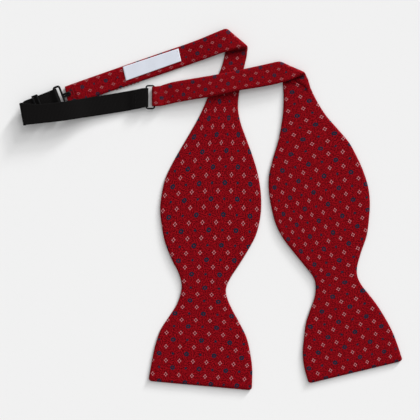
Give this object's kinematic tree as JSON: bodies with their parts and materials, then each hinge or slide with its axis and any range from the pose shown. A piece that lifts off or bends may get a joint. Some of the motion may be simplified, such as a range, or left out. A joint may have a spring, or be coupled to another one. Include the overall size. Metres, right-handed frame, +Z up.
{
  "type": "self-tie bow tie",
  "caption": "Untied self-tie bow tie laid flat: butterfly silk blades with folded neckbands, wire ring, adjustable webbing, slider and hook.",
  "frame": {"origin": "centre of the bounding box, on the surface that the tie lies on", "axes": "+Z up from that surface; +X to the viewer's right along the neckbands; -Y towards the blades' sewn ends"},
  "size_m": [0.2677, 0.253, 0.0063],
  "materials": {
    "silk": "woven silk with a fine twill and a small repeat",
    "interlining": "brushed wool and cotton",
    "red_thread": "sewing thread",
    "label": "smooth woven satin",
    "webbing": "ribbed woven tape",
    "black_thread": "sewing thread",
    "black_wire": "black enamel, semi-gloss"
  },
  "bodies": {
    "left_half": {"left_face_silk": "silk", "left_back_silk": "silk", "left_interlining": "interlining", "left_closing_stitches": "red_thread", "woven_label": "label", "label_stitches": "red_thread", "hook_eye": "red_thread", "hook_eye_stitches": "red_thread"},
    "right_half": {"right_face_silk": "silk", "right_back_silk": "silk", "right_interlining": "interlining", "right_closing_stitches": "red_thread", "ring_loop_stitches": "red_thread"},
    "ring": {"ring": "black_wire"},
    "webbing": {"webbing": "webbing", "webbing_ring_stitches": "black_thread", "webbing_return": "webbing"},
    "slider": {"slider": "black_wire", "slider_stitches": "black_thread"},
    "hook": {"hook": "black_wire"}
  },
  "joints": [
    {"name": "right_half_lift", "type": "slide", "parent": "left_half", "child": "right_half", "axis": [0, 0, 1], "range_m": [0, 0.03]},
    {"name": "ring_swing", "type": "hinge", "parent": "right_half", "child": "ring", "pos_m": [-0.0398, 0.0774, 0.00185], "axis": [0, 1, 0], "range_deg": [0, 35]},
    {"name": "webbing_swing", "type": "hinge", "parent": "ring", "child": "webbing", "pos_m": [-0.0455, 0.0774, 0.00185], "axis": [0, 1, 0], "range_deg": [0, 40]},
    {"name": "hook_swing", "type": "hinge", "parent": "webbing", "child": "hook", "pos_m": [-0.1077, 0.0765, 0.00305], "axis": [0.3665, -0.9304, 0], "range_deg": [0, 14]},
    {"name": "slider_slide", "type": "slide", "parent": "webbing", "child": "slider", "axis": [0.9304, 0.3665, 0], "range_m": [-0.004, 0.007], "deforming": ["webbing_return"]}
  ]
}
